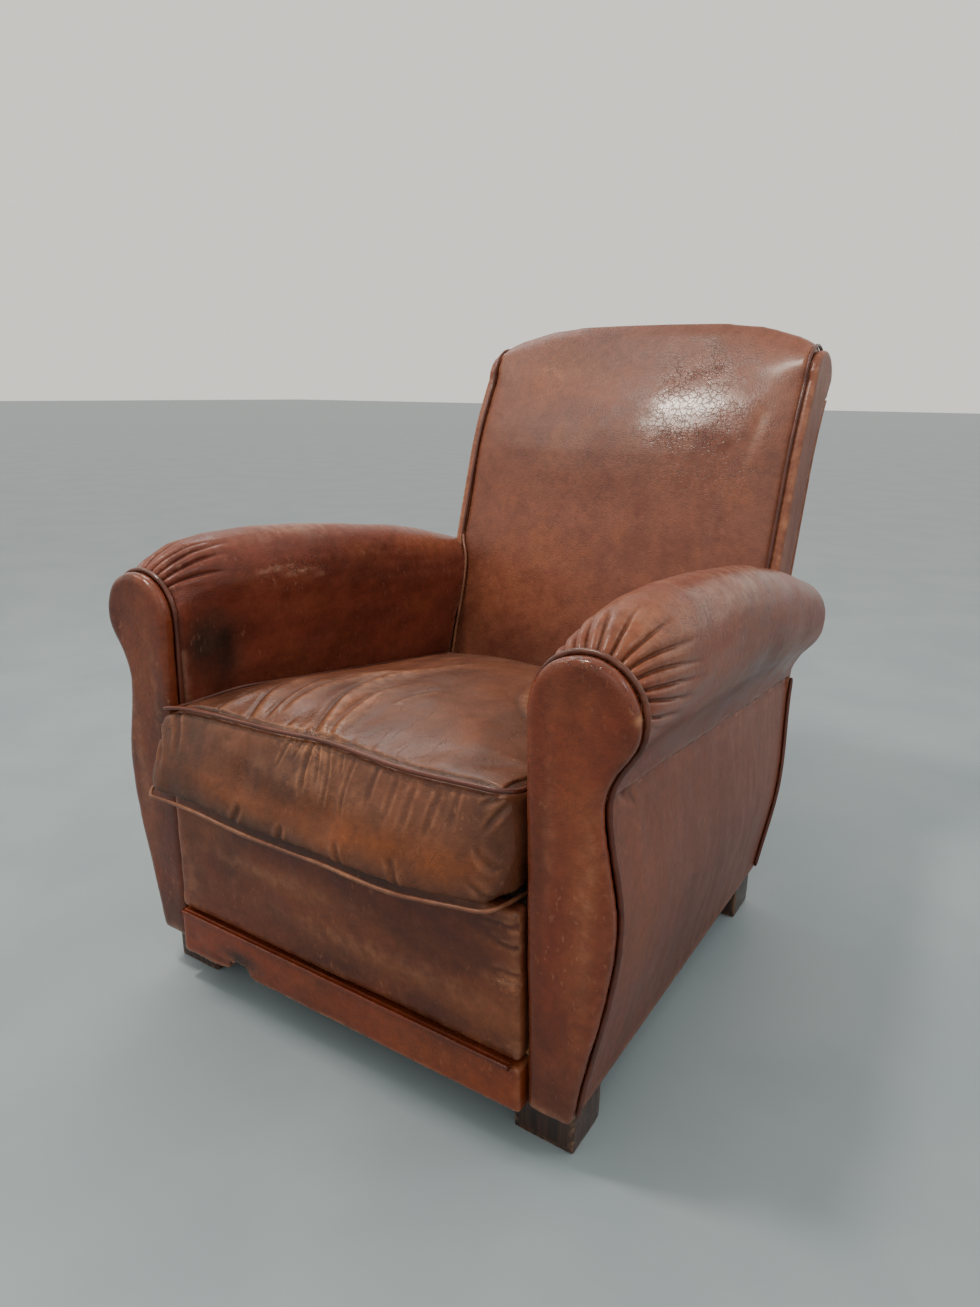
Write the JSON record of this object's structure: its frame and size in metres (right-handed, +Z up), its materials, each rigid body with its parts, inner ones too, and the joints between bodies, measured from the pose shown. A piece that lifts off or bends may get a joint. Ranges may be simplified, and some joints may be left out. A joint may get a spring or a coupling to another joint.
{
  "type": "worn club chair",
  "caption": "Low leather easy chair with rolled arms, a raked back, a loose sprung seat cushion with piping and dark block feet, worn and creased.",
  "frame": {"origin": "on the floor under the middle of the whole chair", "axes": "+Z up, the chair faces -Y, +X to the right as seen by someone facing the chair"},
  "size_m": [0.7092, 0.8746, 0.846],
  "materials": {
    "cover_leather": "aged brown leather, semi-gloss wax patina with fine cracks, scuffs and darker dirt",
    "side_leather": "duller grey-brown aged leather with soft vertical streaks",
    "cushion_leather": "greyed brown aged leather, creased and cracked, tan where the colour is worn off",
    "welt_leather": "dark brown leather piping, worn to tan in places",
    "stained_wood": "dark stained beech block, worn at the edges",
    "beech": "plain planed beech",
    "jute_webbing": "woven jute strap",
    "hessian": "coarse hessian cloth",
    "spring_steel": "dull steel wire",
    "stuffing": "fibre stuffing under a thin cloth",
    "black_cloth": "thin black cloth, dusty"
  },
  "bodies": {
    "root": {"apron_double_welt": "welt_leather", "arm_facing_left": "cover_leather", "arm_facing_right": "cover_leather", "arm_pad_left": "cover_leather", "arm_pad_right": "cover_leather", "arm_rail_left": "beech", "arm_rail_right": "beech", "back_border_left": "side_leather", "back_border_right": "side_leather", "back_pad": "cover_leather", "back_webbing_1": "jute_webbing", "back_webbing_2": "jute_webbing", "back_webbing_3": "jute_webbing", "back_welt_left": "welt_leather", "back_welt_right": "welt_leather", "crest_rail": "beech", "cushion_welt_bottom": "welt_leather", "cushion_welt_top": "welt_leather", "dust_cover": "black_cloth", "facing_welt_left": "welt_leather", "facing_welt_right": "welt_leather", "front_apron": "cover_leather", "front_foot_left": "stained_wood", "front_foot_right": "stained_wood", "front_post_left": "beech", "front_post_right": "beech", "front_rail": "beech", "lower_back_rail": "beech", "outer_arm_left": "side_leather", "outer_arm_right": "side_leather", "outer_back": "side_leather", "plinth_strip": "cover_leather", "rear_edge_welt_left": "welt_leather", "rear_edge_welt_right": "welt_leather", "rear_foot_left": "stained_wood", "rear_foot_right": "stained_wood", "rear_rail": "beech", "rear_stile_left": "beech", "rear_stile_right": "beech", "seat_cushion": "cushion_leather", "seat_deck_pad": "stuffing", "seat_hessian": "hessian", "seat_spring_1_1": "spring_steel", "seat_spring_1_2": "spring_steel", "seat_spring_1_3": "spring_steel", "seat_spring_2_1": "spring_steel", "seat_spring_2_2": "spring_steel", "seat_spring_2_3": "spring_steel", "seat_spring_3_1": "spring_steel", "seat_spring_3_2": "spring_steel", "seat_spring_3_3": "spring_steel", "seat_webbing_cross_1": "jute_webbing", "seat_webbing_cross_2": "jute_webbing", "seat_webbing_cross_3": "jute_webbing", "seat_webbing_long_1": "jute_webbing", "seat_webbing_long_2": "jute_webbing", "seat_webbing_long_3": "jute_webbing", "side_rail_left": "beech", "side_rail_right": "beech"}
  },
  "joints": []
}
